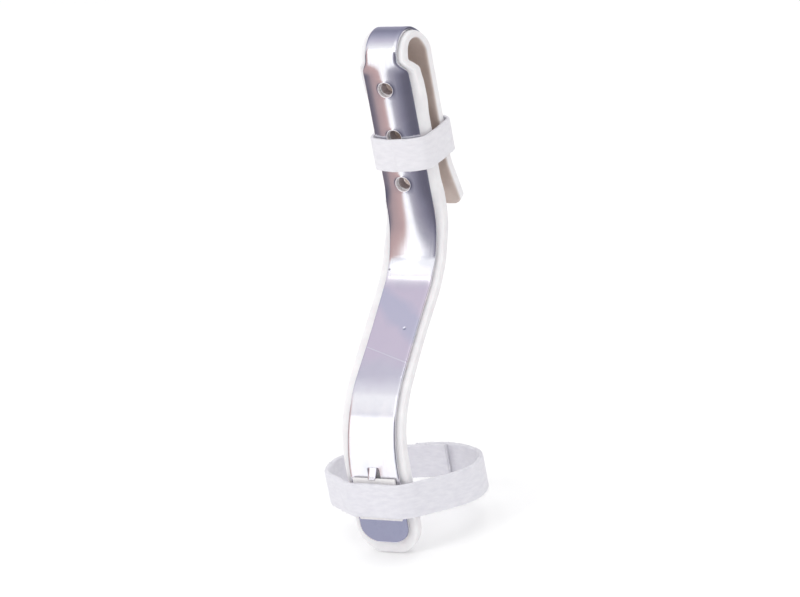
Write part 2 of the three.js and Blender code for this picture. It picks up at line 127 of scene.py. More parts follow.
# Across the strip, at a share of a stretch: the metal's width as a share of METAL_WIDTH, the foam's overhang
# as a share of FOAM_MARGIN, how far the trough is formed and the foam's edges turn back, the foam's share of
# its thickness, how far it lies aside as a share of FOAM_MARGIN, and how far the metal's edges roll inwards
SECTIONS = [
    ("forearm", 0, 1, 1, 0, 0, 1, 0, 0),
    ("forearm", 1, 1, 1, 0, 0, 1, 0, 0),
    ("wrist", 0.6, 0.96, 1.12, 0, 0, 0.85, -0.22, 0),
    ("palm", 0.5, 0.92, 1.24, 0, 0, 0.7, -0.33, 0),
    ("knuckle", 0.2, 0.94, 1.18, 0, 0, 0.77, -0.26, 0),
    ("knuckle", 0.5, 0.955, 1.14, 0.2, 0, 0.82, -0.2, 0),
    ("finger", 0.06, 0.97, 1.1, 0.75, 0.4, 1, 0, 0),
    ("finger", 0.22, 0.94, 1.2, 1, 1, 1, 0, 0),
    ("finger", 0.62, 0.94, 1.2, 1, 1, 1, 0, 0),
    ("finger", 0.84, 0.94, 1.2, 1, 0.25, 1, 0, 0),
    ("finger", 0.94, 0.93, 1.1, 0.95, 0.1, 1, 0, 0),
    ("loop", 0.07, 0.64, 0.9, 0, 0, 1.05, 0, 1),
    ("loop", 0.4, 0.64, 0.9, 0, 0, 0.68, 0, 1),
    ("loop", 0.64, 0.64, 0.98, 0, 0, 0.68, 0, 0.2),
    ("loop", 1, 0.85, 0.74, 0, 0, 1, 0, 0),
    ("tip", 1, 0.85, 0.74, 0, 0, 1, 0, 0),
]
ROW_DISTANCES = np.array([distance_to(row[0], row[1]) for row in SECTIONS])
ROW_VALUES = np.array([row[2:] for row in SECTIONS])
WIDTH, FOAM, TROUGH, LIP, THICK, ASIDE, ROLL_IN = range(7)


def section_at(distance):
    """The section's values at distances along the strip, eased between the rows."""
    after = np.clip(np.searchsorted(ROW_DISTANCES, distance, side="right"), 1, len(SECTIONS) - 1)
    low, high = ROW_DISTANCES[after - 1], ROW_DISTANCES[after]
    share = np.clip((distance - low) / (high - low), 0, 1)
    share = (share * share * (3 - 2 * share))[..., None]
    return ROW_VALUES[after - 1] * (1 - share) + ROW_VALUES[after] * share


def spine_at(distance):
    """Place (y, z) and angle of the metal's inner face, at distances along the strip."""
    distance = np.asarray(distance, float)
    y, z = np.full(distance.shape, METAL_BACK), np.full(distance.shape, float(-WRIST_STRAP_ABOVE_END))
    angle = np.zeros(distance.shape)
    for name, length, turn in STRETCHES:
        low = -np.inf if name == "forearm" else 0
        high = np.inf if name == "tip" else length
        run = np.clip(distance - START[name], low, high)
        bend = math.radians(turn) * run / length
        if turn:
            radius = length / math.radians(turn)
            y = y + radius * (np.cos(angle) - np.cos(angle + bend))
            z = z + radius * (np.sin(angle + bend) - np.sin(angle))
        else:
            y = y + run * np.sin(angle)
            z = z + run * np.cos(angle)
        angle = angle + bend
    return y, z, angle


def on_spine(distance, x, inward):
    """Points at x across and inward from the metal's inner face."""
    y, z, angle = spine_at(distance)
    return np.stack(np.broadcast_arrays(x, y + inward * np.cos(angle), z - inward * np.sin(angle)), -1)


# The metal's edges are rolled in over ROLL_WIDTH, and the foam's skin follows them until ROLL_FADE past them
ROLL_WIDTH, ROLL_DROP, ROLL_CURVE, ROLL_MOST, ROLL_FADE = 1.0, 0.34, 1.6, 1.3, 0.9
SKIN_DEPTH = 1.5
LEAST_BEND = 1e-6


def roll_in(section, across, edge, most):
    """How far the rolled edge draws a point inwards; most limits the share of the roll that it takes."""
    beyond = np.clip((np.abs(across) - edge + ROLL_WIDTH) / ROLL_WIDTH, 0, most)
    return section[..., ROLL_IN] * ROLL_DROP * beyond ** ROLL_CURVE


def metal_point(distance, across, depth):
    """A point of the metal: across is along the section, depth inwards from its inner face."""
    section = section_at(distance)
    bend = np.maximum(section[..., TROUGH] / TROUGH_RADIUS, LEAST_BEND)
    x = (1 / bend - depth) * np.sin(across * bend)
    inward = 1 / bend - (1 / bend - depth) * np.cos(across * bend)
    edge = section[..., WIDTH] * METAL_WIDTH / 2
    return on_spine(distance, x, inward + roll_in(section, across, edge, ROLL_MOST))


def foam_point(distance, across, depth):
    """A point of the foam: it follows the metal, and past the metal's edges it turns back as a lip."""
    section = section_at(distance)
    edge = section[..., WIDTH] * METAL_WIDTH / 2
    on_metal = np.clip(across, -edge, edge)
    overhang = np.abs(across) - np.abs(on_metal)
    lip = np.radians(LIP_ANGLE * section[..., LIP])
    bend = np.maximum(section[..., TROUGH] / TROUGH_RADIUS, LEAST_BEND)
    x = (1 / bend - CLEARANCE) * np.sin(on_metal * bend) + np.sign(across) * overhang * np.cos(lip)
    x = x + section[..., ASIDE] * FOAM_MARGIN
    inward = 1 / bend - (1 / bend - CLEARANCE) * np.cos(on_metal * bend) + overhang * np.sin(lip)
    rolled = roll_in(section, across, edge, 1) * np.clip(1 - overhang / ROLL_FADE, 0, 1)
    return on_spine(distance, x, inward + depth - CLEARANCE + rolled * (depth < SKIN_DEPTH))


def mesh_object(name, points, uvs, faces, second=None):
    """A smooth mesh from points in millimetres; uvs, one pair a point or None, are in millimetres too.
    second(centre) says which faces take the second material."""
    mesh = bpy.data.meshes.new(name)
    mesh.from_pydata((np.asarray(points) * MM).tolist(), [], faces)
    if uvs is not None:
        layer = mesh.uv_layers.new(name="strip")
        index = np.empty(len(mesh.loops), int)
        mesh.loops.foreach_get("vertex_index", index)
        layer.data.foreach_set("uv", (np.asarray(uvs, float)[index, :2] * MM).ravel())
    mesh.polygons.foreach_set("use_smooth", [True] * len(mesh.polygons))
    mesh.validate()
    if uvs is not None:
        shape = bmesh.new()
        shape.from_mesh(mesh)
        bmesh.ops.recalc_face_normals(shape, faces=shape.faces)
        shape.to_mesh(mesh)
        shape.free()
    mesh.update()
    if second is not None:
        for face in mesh.polygons:
            face.material_index = int(second(face.center / MM))
    piece = bpy.data.objects.new(name, mesh)
    bpy.context.scene.collection.objects.link(piece)
    return piece


def outward_faces(points, faces):
    """The faces turned so that the closed mesh encloses a positive volume."""
    points = np.asarray(points)
    volume = 0.0
    for face in faces:
        a = points[face[0]]
        for i in range(1, len(face) - 1):
            volume += np.dot(a, np.cross(points[face[i]], points[face[i + 1]]))
    return faces if volume > 0 else [tuple(reversed(face)) for face in faces]


def section_loop(columns, thickness, rounding, steps):
    """A flat section with rounded edges: each point's share across, offset past the edge and depth, and how
    many points one rounded edge has."""
    arc = [math.pi / 2 * step / steps for step in range(1, steps + 1)]
    quarter = [(rounding * math.sin(a), rounding * (1 - math.cos(a))) for a in arc]
    mirrored = quarter[:-1] if 2 * rounding >= thickness else quarter
    edge = quarter + [(out, thickness - deep) for out, deep in reversed(mirrored)]
    loop = [(2 * step / columns - 1, 0, 0) for step in range(columns + 1)]
    loop += [(1, out, deep) for out, deep in edge]
    loop += [(1 - 2 * step / columns, 0, thickness) for step in range(columns + 1)]
    loop += [(-1, -out, deep) for out, deep in reversed(edge)]
    share, offset, depth = np.array(loop, float).T
    return share, offset, depth, len(edge)


def grid_faces(rows, count, covered=()):
    """The faces between rows of closed loops of points, without the covered (row, column) places."""
    faces = []
    for row in range(rows - 1):
        for col in range(count):
            if (row, col) not in covered:
                here, there, after = row * count, (row + 1) * count, (col + 1) % count
                faces.append((here + col, here + after, there + after, there + col))
    return faces


def end_faces(base, columns, side, turn):
    """The faces that close the section whose points start at base; turn, 1 or -1, says which way they go."""
    back = columns + 1 + side
    far = base + back + columns
    faces = [(base + col, base + col + 1, far - 1 - col, far - col)[::turn] for col in range(columns)]
    right = tuple(base + columns + i for i in range(side + 2))
    left = (base, *(base + 2 * back - 1 - i for i in range(side)), far)
    return faces + [right[::turn], left[::-turn]]


def ring_faces(outer, inner):
    """The faces between two rings of as many points."""
    quads = zip(outer, inner, np.roll(inner, -1), np.roll(outer, -1))
    return [tuple(int(i) for i in quad) for quad in quads]


def loft(rows, place, columns, thickness, rounding, steps, windows=()):
    """A closed plate along rows of (distance, half width, shrink), with windows through it. place gives a
    point from its distance, across and depth. A window is (first row, last row, first column, last column,
    centre, outline, rings), and a ring is (swell past the outline, depth, share of the way there)."""
    share, offset, depth, side = section_loop(columns, thickness, rounding, steps)
    distance, half, shrink = (np.array(v)[:, None] for v in zip(*rows))
    across = share * (half - rounding) + offset * (1 - shrink / rounding)
    deep = np.clip(depth[None, :], shrink, thickness - shrink)
    flat = [np.array(v).ravel() for v in np.broadcast_arrays(distance, across, deep)]
    count, back = len(share), columns + 1 + side
    covered = set()
    for row0, row1, col0, col1, *_ in windows:
        for row in range(row0, row1):
            for col in range(col0, col1):
                covered |= {(row, col), (row, back + columns - 1 - col)}
    faces = grid_faces(len(rows), count, covered)
    faces += end_faces(0, columns, side, -1) + end_faces((len(rows) - 1) * count, columns, side, 1)
    extra, total = [[], [], []], len(flat[0])
    for row0, row1, col0, col1, centre, outline, rings in windows:
        border = [(row0, col) for col in range(col0, col1)] + [(row, col1) for row in range(row0, row1)]
        border += [(row1, col) for col in range(col1, col0, -1)]
        border += [(row, col0) for row in range(row1, row0, -1)]
        front = np.array([row * count + col for row, col in border])
        rear = np.array([row * count + back + columns - col for row, col in border])
        d, a = flat[0][front] - centre, flat[1][front]
        theta = np.arctan2(a, d)
        reach = outline(theta)
        previous = front
        for swell, level, way in rings:
            ids = total + np.arange(len(front))
            total += len(front)
            extra[0].append(d * (1 - way) + (reach + swell) * np.cos(theta) * way + centre)
            extra[1].append(a * (1 - way) + (reach + swell) * np.sin(theta) * way)
            extra[2].append(np.full(len(front), float(level)))
            faces += ring_faces(previous, ids)
            previous = ids
        faces += ring_faces(previous, rear)
    flat = [np.concatenate([flat[i], *extra[i]]) for i in range(3)]
    used = sorted({i for face in faces for i in face})
    renumber = {old: new for new, old in enumerate(used)}
    faces = [tuple(renumber[i] for i in face) for face in faces]
    points = place(*flat)[used]
    uvs = np.stack([flat[1][used], flat[0][used], flat[2][used]], -1)
    return points, uvs, outward_faces(points, faces)


CORNER_SPREAD = 1.6
STRIP_STEP, LEAST_STEP, END_ROWS, EDGE_ROWS = 0.8, 0.45, 15, 4
EDGE_LIMIT, EDGE_SHRINK = 1.01, 0.98


def corner_inset(from_end, rounding, half):
    """How far a rounded end draws the plate's edge in, at a distance from that end."""
    rise = np.sqrt(np.clip(1 - (1 - np.clip(from_end / rounding, 0, 1)) ** 2, 0, 1))
    return np.minimum(half * (1 - FLAT_END_SHARE), rounding * CORNER_SPREAD) * (1 - rise)


def rows_of(first, last, half_at, start_rounding, end_rounding, edge, marks):
    """Rows of a plate from first to last, closer at its rounded ends, with rows exactly at the marks."""
    ends = 1 - np.cos(np.linspace(0, math.pi / 2, END_ROWS))
    middle = np.arange(first + start_rounding, last - end_rounding, STRIP_STEP)
    middle = middle[np.min(np.abs(middle[:, None] - marks[None, :]), axis=1) > STRIP_STEP * LEAST_STEP]
    distances = np.concatenate([first + start_rounding * ends, last - end_rounding * ends, middle, marks])
    distances = np.unique(np.round(distances, 5))
    limit = edge * EDGE_LIMIT
    distances = distances[(distances > first + limit) & (distances < last - limit)]
    half = half_at(distances)
    half = half - np.maximum(corner_inset(distances - first, start_rounding, half),
                             corner_inset(last - distances, end_rounding, half))
    turn = np.linspace(0, math.pi / 2, EDGE_ROWS)
    shrink = edge * (1 - np.cos(turn)) * EDGE_SHRINK
    inset = edge * (1 - np.sin(turn))

    def end_rows(end, rounding, way):
        """Rows over the rounded edge at one end, outwards from the plate."""
        full = half_at(np.array([end]))[0]
        halves = np.maximum(full - corner_inset(inset, rounding, full), full * FLAT_END_SHARE)
        return [(end + way * i, h, s) for i, h, s in zip(inset, halves, shrink)]

    rows = [(d, h, 0.0) for d, h in zip(distances, half)]
    return end_rows(first, start_rounding, 1)[::-1] + rows + end_rows(last, end_rounding, -1)


HOLES = [distance_to("finger", 1) - FIRST_HOLE_BELOW_LOOP - HOLE_SPACING * i for i in range(HOLE_COUNT)]
TANG_AT = WRIST_STRAP_ABOVE_END + WRIST_STRAP_WIDTH / 2 + TANG_ABOVE_STRAP
HOLE_REACH, HOLE_MARKS = 4.7, 12


def marks_for(centres):
    """Distances at even steps across the window of each centre."""
    return np.concatenate([np.linspace(c - HOLE_REACH, c + HOLE_REACH, HOLE_MARKS + 1) for c in centres])


def window(rows, centre, columns, outline, rings):
    """A window of loft: the rows that reach HOLE_REACH to either side of its centre, between two columns."""
    distances = np.array([row[0] for row in rows])
    first, last = (int(np.argmin(np.abs(distances - (centre + way * HOLE_REACH)))) for way in (-1, 1))
    return first, last, *columns, centre, outline, rings


def hole_outline(radius):
    return lambda theta: np.full(theta.shape, radius)


SLOT_SQUARENESS = 7


def slot_outline(theta):
    """How far the tang's slot, a box with rounded corners, reaches from its middle at each angle."""
    along = np.abs(np.cos(theta)) / (TANG_SLOT_LENGTH / 2)
    across = np.abs(np.sin(theta)) / (TANG_SLOT_WIDTH / 2)
    return 1 / (along ** SLOT_SQUARENESS + across ** SLOT_SQUARENESS) ** (1 / SLOT_SQUARENESS)


def metal_half(distance):
    return section_at(distance)[..., WIDTH] * METAL_WIDTH / 2


def foam_half(distance):
    return metal_half(distance) + section_at(distance)[..., FOAM] * FOAM_MARGIN


TANG_ROUNDING, TANG_ROOT, TANG_ROWS, TANG_COLUMNS = 0.22, 0.9, 17, 6
TANG_LEFT_GAP, TANG_RIGHT_GAP, TANG_TAPER, TANG_TIP_TAPER = 0.12, 0.1, 0.75, 0.3
TANG_RISES_AT, TANG_RISE_CURVE, TANG_TIP_AT = 0.18, 1.5, 0.8


def tang_mesh():
    """The raised tongue: rooted at the slot's upper end, lifted at its lower end, with rounded edges."""
    root_y, root_z, _ = spine_at(TANG_AT + TANG_SLOT_LENGTH / 2)
    share, offset, depth, _ = section_loop(TANG_COLUMNS, TANG_THICKNESS, TANG_ROUNDING, steps=3)
    points, uvs = [], []
    for row in range(TANG_ROWS):
        t = row / (TANG_ROWS - 1)
        down = -TANG_ROOT + (TANG_REACH + TANG_ROOT) * t
        lift = TANG_LIFT * max(0, (t - TANG_RISES_AT) / (1 - TANG_RISES_AT)) ** TANG_RISE_CURVE
        left, right = -TANG_SLOT_WIDTH / 2 + TANG_LEFT_GAP, TANG_WIDTH / 2 - TANG_RIGHT_GAP - TANG_TAPER * t
        right -= TANG_TIP_TAPER * max(0, (t - TANG_TIP_AT) / (1 - TANG_TIP_AT)) ** 2
        across = (left + right) / 2 + share * ((right - left) / 2 - TANG_ROUNDING) + offset
        outward = (METAL_THICKNESS + TANG_THICKNESS) / 2 + lift - depth
        points += [(x, root_y - out, root_z - down) for x, out in zip(across, outward)]
        uvs += [(x, TANG_AT - down) for x in across]
    count = len(share)
    faces = grid_faces(TANG_ROWS, count)
    faces += [tuple(range(count))[::-1], tuple((TANG_ROWS - 1) * count + i for i in range(count))]
    points = np.array(points)
    return points, np.array(uvs), outward_faces(points, faces)


def join_meshes(parts):
    """One mesh from several of points, uvs and faces."""
    points = np.concatenate([p[0] for p in parts])
    uvs = np.concatenate([p[1][:, :2] for p in parts])
    faces, base = [], 0
    for part in parts:
        faces += [tuple(i + base for i in face) for face in part[2]]
        base += len(part[0])
    return points, uvs, faces


HOLE_HEIGHTS = [float(spine_at(np.array(h))[1]) for h in HOLES]
FINGER_FACE = float(spine_at(np.array(HOLES[0]))[0])
BEFORE_FACE = 3


def near_hole(centre, reach):
    """Whether a point of the finger's front leg is within reach of a hole's middle line."""
    if not FINGER_FACE - BEFORE_FACE < centre.y < FINGER_FACE + FOAM_THICKNESS:
        return False
    return any(math.hypot(centre.x, centre.z - height) < reach for height in HOLE_HEIGHTS)


# Rings of the windows, from the outer face inwards, as loft takes them: a raised rim round each hole, the
# slot's wall, and the wall of each hole in the foam
METAL_ROUNDING, METAL_COLUMNS, METAL_WINDOW, RIM_WIDTH = 0.3, 24, (6, 18), 0.36
RIM_RINGS = [(0.9, 0, 0.5), (0.75, 0, 1), (0.5, -0.07, 1), (0.32, -0.2, 1), (0.14, -0.24, 1),
             (0.03, -0.17, 1), (0, 0.05, 1), (0, METAL_THICKNESS - 0.1, 1), (0.1, METAL_THICKNESS, 1),
             (0.8, METAL_THICKNESS, 1)]
SLOT_RINGS = [(0.25, 0, 1), (0.08, 0.02, 1), (0, 0.12, 1), (0, METAL_THICKNESS - 0.1, 1),
              (0.1, METAL_THICKNESS, 1)]
FOAM_ROUNDING, FOAM_COLUMNS, FOAM_WINDOW, WALL_WIDTH = 0.9, 32, (11, 21), 0.02
WALL_RINGS = [(0.6, 0, 0.5), (0.35, 0, 1), (0.1, 0.08, 1), (0, 0.35, 1), (-0.06, 1.6, 1), (-0.08, 2.6, 1),
              (0, FOAM_THICKNESS - 0.4, 1), (0.12, FOAM_THICKNESS - 0.1, 1), (0.45, FOAM_THICKNESS, 1)]
INNER_SHADE_RUN = 8


def make_strip():
    """The metal strip with its holes, its slot and its tang."""
    marks = np.concatenate([marks_for(HOLES), marks_for([TANG_AT])])
    rows = rows_of(0, STRIP_LENGTH, metal_half, LOWER_END_ROUNDING, FREE_END_ROUNDING, METAL_ROUNDING, marks)
    windows = [window(rows, hole, METAL_WINDOW, hole_outline(HOLE_RADIUS), RIM_RINGS) for hole in HOLES]
    windows.append(window(rows, TANG_AT, METAL_WINDOW, slot_outline, SLOT_RINGS))

    def place(distance, across, depth):
        return metal_point(distance, across, depth - METAL_THICKNESS)

    plate = loft(rows, place, METAL_COLUMNS, METAL_THICKNESS, METAL_ROUNDING, 4, windows)
    return mesh_object("splint_strip_metal", *join_meshes([plate, tang_mesh()]),
                       second=lambda centre: near_hole(centre, HOLE_RADIUS + RIM_WIDTH))


def make_foam():
    """The foam on the strip's inner side. Its attribute inner says how deep a point is, along the finger, and
    masks the painted shade there.
    """
    rows = rows_of(-FOAM_END_MARGIN, STRIP_LENGTH + FREE_END_MARGIN, foam_half,
                   LOWER_END_ROUNDING + FOAM_END_MARGIN, FREE_END_ROUNDING + FREE_END_MARGIN, FOAM_ROUNDING,
                   marks_for(HOLES))
    windows = [window(rows, hole, FOAM_WINDOW, hole_outline(FOAM_HOLE_RADIUS), WALL_RINGS) for hole in HOLES]

    def place(distance, across, depth):
        return foam_point(distance, across, depth * section_at(distance)[..., THICK] + CLEARANCE)

    points, uvs, faces = loft(rows, place, FOAM_COLUMNS, FOAM_THICKNESS, FOAM_ROUNDING, 6, windows)
    foam = mesh_object("foam_lining_soft", points, uvs, faces,
                       second=lambda centre: near_hole(centre, FOAM_HOLE_RADIUS + WALL_WIDTH))
    # The painted shade on the foam's inner side fades in over a few millimetres past the knuckle
    at_finger = np.clip((uvs[:, 1] - distance_to("knuckle", 1)) / INNER_SHADE_RUN, 0, 1)
    inner = foam.data.attributes.new("inner", "FLOAT", "POINT")
    inner.data.foreach_set("value", uvs[:, 2] / FOAM_THICKNESS * at_finger)
    return foam


def tight_path(corners, middle, steps=720):
    """The closed line of a band drawn tight round some corners, seen from above, as points and lengths."""
    corners = np.asarray(corners)[:, :2]
    angle = np.arange(steps) / steps * 2 * math.pi
    outward = np.stack([np.sin(angle), -np.cos(angle)], -1)
    reach = outward @ (corners - middle).T
    share = np.exp((reach - reach.max(axis=1, keepdims=True)) / STRAP_ROUNDING)
    share /= share.sum(axis=1, keepdims=True)
    path = share @ corners + outward * (CLEARANCE + STRAP_ROUNDING)
    closed = np.vstack([path, path[:1]])
    return closed, np.concatenate([[0], np.cumsum(np.linalg.norm(np.diff(closed, axis=0), axis=1))])


def along_path(closed, lengths, at, reach=0.6):
    """Points at some lengths along the closed line, and the directions that face out of it there."""
    def point_at(length):
        length = np.mod(length, lengths[-1])
        return np.stack([np.interp(length, lengths, closed[:, i]) for i in (0, 1)], -1)

    tangent = point_at(at + reach) - point_at(at - reach)
    tangent /= np.linalg.norm(tangent, axis=1, keepdims=True)
    return point_at(at), np.stack([tangent[:, 1], -tangent[:, 0]], -1)


BAND_COLUMNS = 10


def band_mesh(points, outward, along, width, thickness, rounding, lift, closed):
    """A strap along points seen from above, raised by lift(along)."""
    share, offset, depth, side = section_loop(BAND_COLUMNS, thickness, rounding, steps=4)
    count, rows = len(share), len(points)
    up = share * (width / 2 - rounding) + offset
    xy = points[:, None, :] + outward[:, None, :] * (thickness - depth)[None, :, None]
    z = up[None, :] + lift(along)[:, None]
    mesh_points = np.concatenate([xy, z[..., None]], -1).reshape(-1, 3)
    uvs = np.stack(np.broadcast_arrays(up[None, :], along[:, None]), -1).reshape(-1, 2)
    faces = []
    for row in range(rows if closed else rows - 1):
        here, there = row * count, (row + 1) % rows * count
        for col in range(count):
            after = (col + 1) % count
            faces.append((here + col, there + col, there + after, here + after))
    if not closed:
        faces += end_faces(0, BAND_COLUMNS, side, 1) + end_faces((rows - 1) * count, BAND_COLUMNS, side, -1)
    return mesh_points, uvs, outward_faces(mesh_points, faces)


FIBRE_EDGE, FIBRE_SCATTER, FIBRE_LEAN, FIBRE_CURL, FIBRE_CORNERS = 0.985, 0.12, 0.45, 0.3, 3
FIBRE_RADII = (0.025, 0.05)
FIBRE_RINGS = ((0, 1), (0.55, 0.8), (1, 0.3))


def add_fibres(part, count, length, seed):
    """Fine fibres that stand out of a strap's cut edges, joined to it."""
    points, uvs, faces = part
    random = np.random.default_rng(seed)
    reach = np.abs(uvs[:, 0]).max()
    edge = np.flatnonzero(np.abs(uvs[:, 0]) > reach * FIBRE_EDGE)
    new_points, new_uvs, new_faces = [], [], []
    for index in random.choice(edge, count):
        root = points[index] + random.normal(0, FIBRE_SCATTER, 3) * (1, 1, 0.3)
        side = math.copysign(1, uvs[index, 0])
        lean = np.array((random.normal(0, FIBRE_LEAN), random.normal(0, FIBRE_LEAN), side))
        lean *= random.uniform(0.35, 1) * length / np.linalg.norm(lean)
        curl = random.normal(0, FIBRE_CURL, 3) * length
        thick = random.uniform(*FIBRE_RADII)
        base = len(points) + len(new_points)
        for share, radius in FIBRE_RINGS:
            centre = root + lean * share + curl * share * share * 0.6
            for corner in range(FIBRE_CORNERS):
                turn = corner * 2 * math.pi / FIBRE_CORNERS
                new_points.append(centre + thick * radius * np.array((math.cos(turn), math.sin(turn), 0)))
                new_uvs.append(uvs[index])
        new_faces += [tuple(base + i for i in face) for face in grid_faces(len(FIBRE_RINGS), FIBRE_CORNERS)]
        new_faces += [(base + 2, base + 1, base), (base + 6, base + 7, base + 8)]
    return np.vstack([points, new_points]), np.vstack([uvs, new_uvs]), faces + new_faces


FINGER_STRAP_EDGE, WRIST_STRAP_EDGE = 0.45, 0.6
WRIST_CORNERS = 36


def make_finger_strap():
    """The closed band round both legs of the strip, and its length."""
    front = np.array(distance_to("finger", 1) - FINGER_STRAP_BELOW_LOOP)
    behind = np.array(distance_to("dorsal", 1))
    corners = [metal_point(front, metal_half(front) * s, -METAL_THICKNESS) for s in np.linspace(-1, 1, 9)]
    for s in (-1, 1):
        corners.append(foam_point(front, s * foam_half(front), CLEARANCE + FOAM_THICKNESS))
        corners.append(foam_point(front, s * foam_half(front), CLEARANCE))
        corners.append(foam_point(behind, s * foam_half(behind), CLEARANCE))
        corners.append(metal_point(behind, s * metal_half(behind), -METAL_THICKNESS))
    y, z, _ = spine_at(front)
    closed, lengths = tight_path(corners, np.array((0, y + LOOP_RADIUS)))
    along = np.linspace(0, lengths[-1], 161)[:-1]
    points, outward = along_path(closed, lengths, along)

    def ripple(at):
        turn = at * 2 * math.pi / lengths[-1]
        return z + 0.12 * np.sin(turn * 3 + 1) + 0.06 * np.sin(turn * 11)

    band = band_mesh(points, outward, along, FINGER_STRAP_WIDTH, FINGER_STRAP_THICKNESS, FINGER_STRAP_EDGE,
                     ripple, closed=True)
    return mesh_object("finger_strap_band", *add_fibres(band, count=380, length=0.55, seed=3)), lengths[-1]


def wrist_corners():
    """Corners of the wrist, seen from above: a rounded oblong, turned and moved aside."""
    turn, corners = math.radians(WRIST_TURN), []
    for angle in np.arange(WRIST_CORNERS) / WRIST_CORNERS * 2 * math.pi:
        x, y = (reach / 2 * math.copysign(abs(part) ** (2 / WRIST_SQUARENESS), part)
                for reach, part in ((WRIST_WIDTH, math.cos(angle)), (WRIST_DEPTH, math.sin(angle))))
        corners.append((x * math.cos(turn) - y * math.sin(turn) + WRIST_OFFSET,
                        x * math.sin(turn) + y * math.cos(turn), 0))
    return corners


def make_wrist_strap():
    """The band once round the wrist and the strip, tilted, its end lapped over its start, and its length."""
    corners = wrist_corners()
    for side in (-1, 0, 1):
        corners.append((side * PATCH_WIDTH / 2, PATCH_FRONT, 0))
        corners.append((side * METAL_WIDTH / 2, METAL_BACK - METAL_THICKNESS, 0))
        corners.append((side * float(foam_half(np.array(WRIST_STRAP_ABOVE_END))), METAL_BACK + CLEARANCE, 0))
    closed, lengths = tight_path(corners, np.zeros(2))
    length = lengths[-1]
    start = (length - WRIST_OVERLAP) / 2
    end = length + start + WRIST_OVERLAP
    along = np.linspace(start, end, 260)
    points, outward = along_path(closed, lengths, along)
    share = np.clip((along - (length + start - LAP_RISE)) / LAP_RISE, 0, 1)
    lift = (WRIST_STRAP_THICKNESS + CLEARANCE) * share * share * (3 - 2 * share)
    points = points + outward * lift[:, None]

    def ripple(at):
        return 0.15 * np.sin(at * 0.09) + 0.08 * np.sin(at * 0.31 + 2)

    mesh_points, uvs, faces = band_mesh(points, outward, along, WRIST_STRAP_WIDTH, WRIST_STRAP_THICKNESS,
                                        WRIST_STRAP_EDGE, ripple, closed=False)
    mesh_points[:, 2] -= math.tan(math.radians(WRIST_STRAP_TILT)) * (mesh_points[:, 1] - PATCH_FRONT)
    band = add_fibres((mesh_points, uvs, faces), count=1500, length=1.0, seed=4)
    return mesh_object("wrist_strap_band", *band), end - start


PATCH_ROUNDING, PATCH_CELLS, PATCH_COLUMNS = 0.3, 16, 14


def make_patch():
    """The thin pad between the strip and the wrist strap."""
    reach = PATCH_HEIGHT / 2 - PATCH_ROUNDING
    rows = [(height, PATCH_WIDTH / 2, 0) for height in np.linspace(-reach, reach, PATCH_CELLS + 1)]
    rows = [(-PATCH_HEIGHT / 2, PATCH_WIDTH / 2, PATCH_ROUNDING)] + rows
    rows += [(PATCH_HEIGHT / 2, PATCH_WIDTH / 2, PATCH_ROUNDING)]

    def place(height, across, depth):
        return np.stack(np.broadcast_arrays(across, PATCH_FRONT + depth, height), -1)

    pad = loft(rows, place, PATCH_COLUMNS, PATCH_THICKNESS, PATCH_ROUNDING, steps=3)
    return mesh_object("hook_patch_pad", *pad)


# Materials
class Tree:
    """A tree of shader nodes, and ways to add and join them. A value is a socket, a number or a tuple."""

    def __init__(self, tree):
        self.nodes, self.links = tree.nodes, tree.links

    def feed(self, socket, value):
        """Link or set an input; a colour is given as three numbers."""
        if isinstance(value, bpy.types.NodeSocket):
            self.links.new(value, socket)
        elif socket.type == "RGBA":
            socket.default_value = (*value, 1)
        else:
            socket.default_value = value

    def give(self, node, **inputs):
        """Feed a node's inputs, whose names have _ for a space."""
        for name, value in inputs.items():
            self.feed(node.inputs[name.replace("_", " ")], value)

    def add(self, kind, **settings):
        """A node of that kind; settings name its properties, or its inputs where it has no such property."""
        node = self.nodes.new(kind)
        for name, value in settings.items():
            if hasattr(node, name):
                setattr(node, name, value)
            else:
                self.give(node, **{name: value})
        return node

    def solid(self):
        """The place in the object, in metres."""
        return self.add("ShaderNodeTexCoord").outputs["Object"]

    def strip_uv(self):
        """The place on the flat strip or band, in metres: across it, then along it."""
        return self.add("ShaderNodeUVMap", uv_map="strip").outputs["UV"]

    def split(self, vector):
        return self.add("ShaderNodeSeparateXYZ", Vector=vector).outputs

    def noise(self, place, stretch=(1, 1, 1), scale=1.0, detail=3.0, rough=0.55):
        stretched = self.add("ShaderNodeMapping", Vector=place, Scale=stretch).outputs["Vector"]
        noise = self.add("ShaderNodeTexNoise", Vector=stretched, Scale=scale, Detail=detail, Roughness=rough)
        return noise.outputs["Fac"]

    def ramp(self, value, stops):
        """The colour that stops of (place, colour) give the value."""
        node = self.add("ShaderNodeValToRGB", Fac=value)
        while len(node.color_ramp.elements) < len(stops):
            node.color_ramp.elements.new(0.5)
        for element, (position, colour) in zip(node.color_ramp.elements, stops):
            element.position = position
            element.color = (*colour, 1)
        return node.outputs["Color"]

    def maths(self, operation, *values, clamp=False):
        node = self.add("ShaderNodeMath", operation=operation, use_clamp=clamp)
        for socket, value in zip(node.inputs, values):
            self.feed(socket, value)
        return node.outputs["Value"]

    def rise(self, value, start, run):
        """0 up to start and 1 from start + run on; a negative run goes the other way."""
        return self.maths("DIVIDE", self.maths("SUBTRACT", value, start), run, clamp=True)

    def between(self, value, low, high):
        above, below = self.maths("GREATER_THAN", value, low), self.maths("LESS_THAN", value, high)
        return self.maths("MULTIPLY", above, below)

    def over(self, base, colour, mask):
        """The colour laid over the base as far as the mask says."""
        node = self.add("ShaderNodeMix", data_type="RGBA", Factor=mask)
        self.feed(node.inputs[6], base)
        self.feed(node.inputs[7], colour)
        return node.outputs[2]

    def relief(self, height, strength, distance, **settings):
        """The normal that a height gives."""
        bump = self.add("ShaderNodeBump", Height=height, Strength=strength, Distance=distance, **settings)
        return bump.outputs["Normal"]


